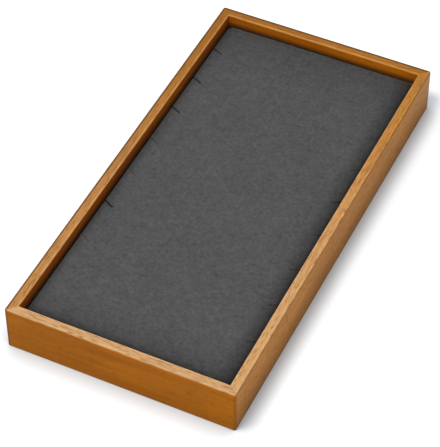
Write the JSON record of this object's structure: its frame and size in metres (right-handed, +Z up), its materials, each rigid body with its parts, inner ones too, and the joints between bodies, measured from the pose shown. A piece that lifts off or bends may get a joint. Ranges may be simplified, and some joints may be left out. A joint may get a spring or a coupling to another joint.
{
  "type": "jewelry display tray",
  "caption": "Shallow rectangular wooden tray with mitred rails and a lift-out cloth-covered pad, slit along its long edges to hold the ends of chains.",
  "frame": {"origin": "on the table under the middle of the tray", "axes": "+Z up, +Y along the tray's length towards the far short rail, +X across its width to the right"},
  "size_m": [0.15, 0.3, 0.032],
  "materials": {
    "wood": "orange-brown stain under a smooth satin lacquer",
    "tongue_wood": "bare wood, hidden in the mitres",
    "panel_board": "bare fibreboard",
    "felt": "thin dark felt",
    "backing_board": "bare fibreboard",
    "foam": "closed-cell foam",
    "microfibre": "charcoal microfibre with a short soft nap"
  },
  "bodies": {
    "frame": {"front_rail": "wood", "right_rail": "wood", "back_rail": "wood", "left_rail": "wood", "front_left_tongue": "tongue_wood", "front_right_tongue": "tongue_wood", "back_right_tongue": "tongue_wood", "back_left_tongue": "tongue_wood", "base_panel": "panel_board", "underside_lining": "felt"},
    "pad": {"pad_board": "backing_board", "pad_foam": "foam", "pad_cover": "microfibre"}
  },
  "joints": [
    {"name": "pad_lift", "type": "slide", "parent": "frame", "child": "pad", "axis": [0, 0, 1], "range_m": [0, 0.04]}
  ]
}
